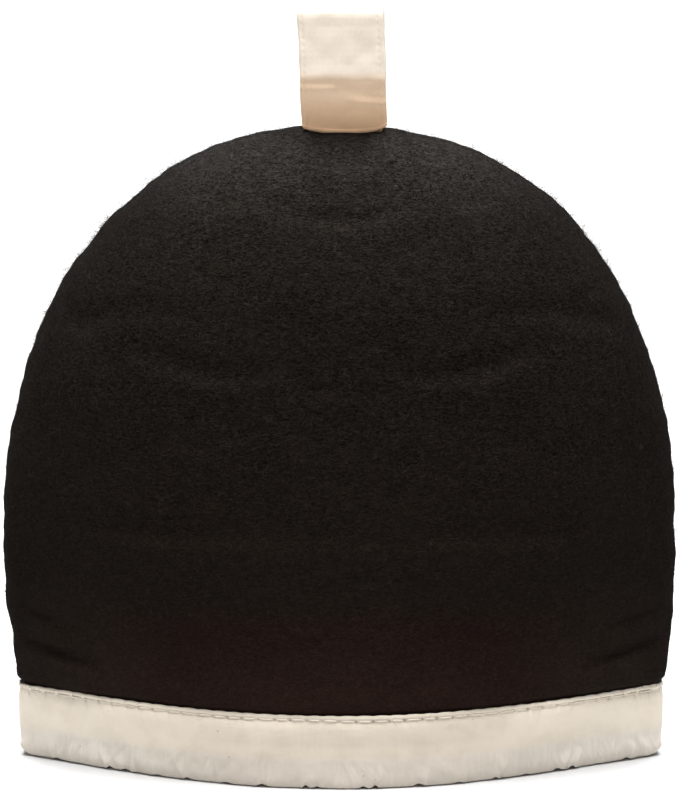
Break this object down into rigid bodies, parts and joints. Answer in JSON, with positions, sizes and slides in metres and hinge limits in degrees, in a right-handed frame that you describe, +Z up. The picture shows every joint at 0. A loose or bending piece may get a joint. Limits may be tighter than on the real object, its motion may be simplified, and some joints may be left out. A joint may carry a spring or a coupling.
{
  "type": "tea cosy",
  "caption": "Domed felt tea cosy, open below, with a filled calico hem band and a calico hanging loop at the crown. It stands opened on its hem.",
  "frame": {"origin": "centre of the underside, on the surface that the hem rests on", "axes": "+X along the wide side, -Y out of the front, +Z up to the hanging loop"},
  "size_m": [0.2615, 0.1176, 0.3002],
  "materials": {
    "black_felt": "matt black wool felt with a short loose fuzz",
    "calico": "unbleached plain-weave cotton calico, topstitched and lightly puckered",
    "loop_calico": "unbleached plain-weave cotton calico, doubled and edge-stitched"
  },
  "bodies": {
    "root": {"front_panel": "black_felt", "back_panel": "black_felt", "front_hem_band": "calico", "back_hem_band": "calico", "hanging_loop": "loop_calico"}
  },
  "joints": []
}
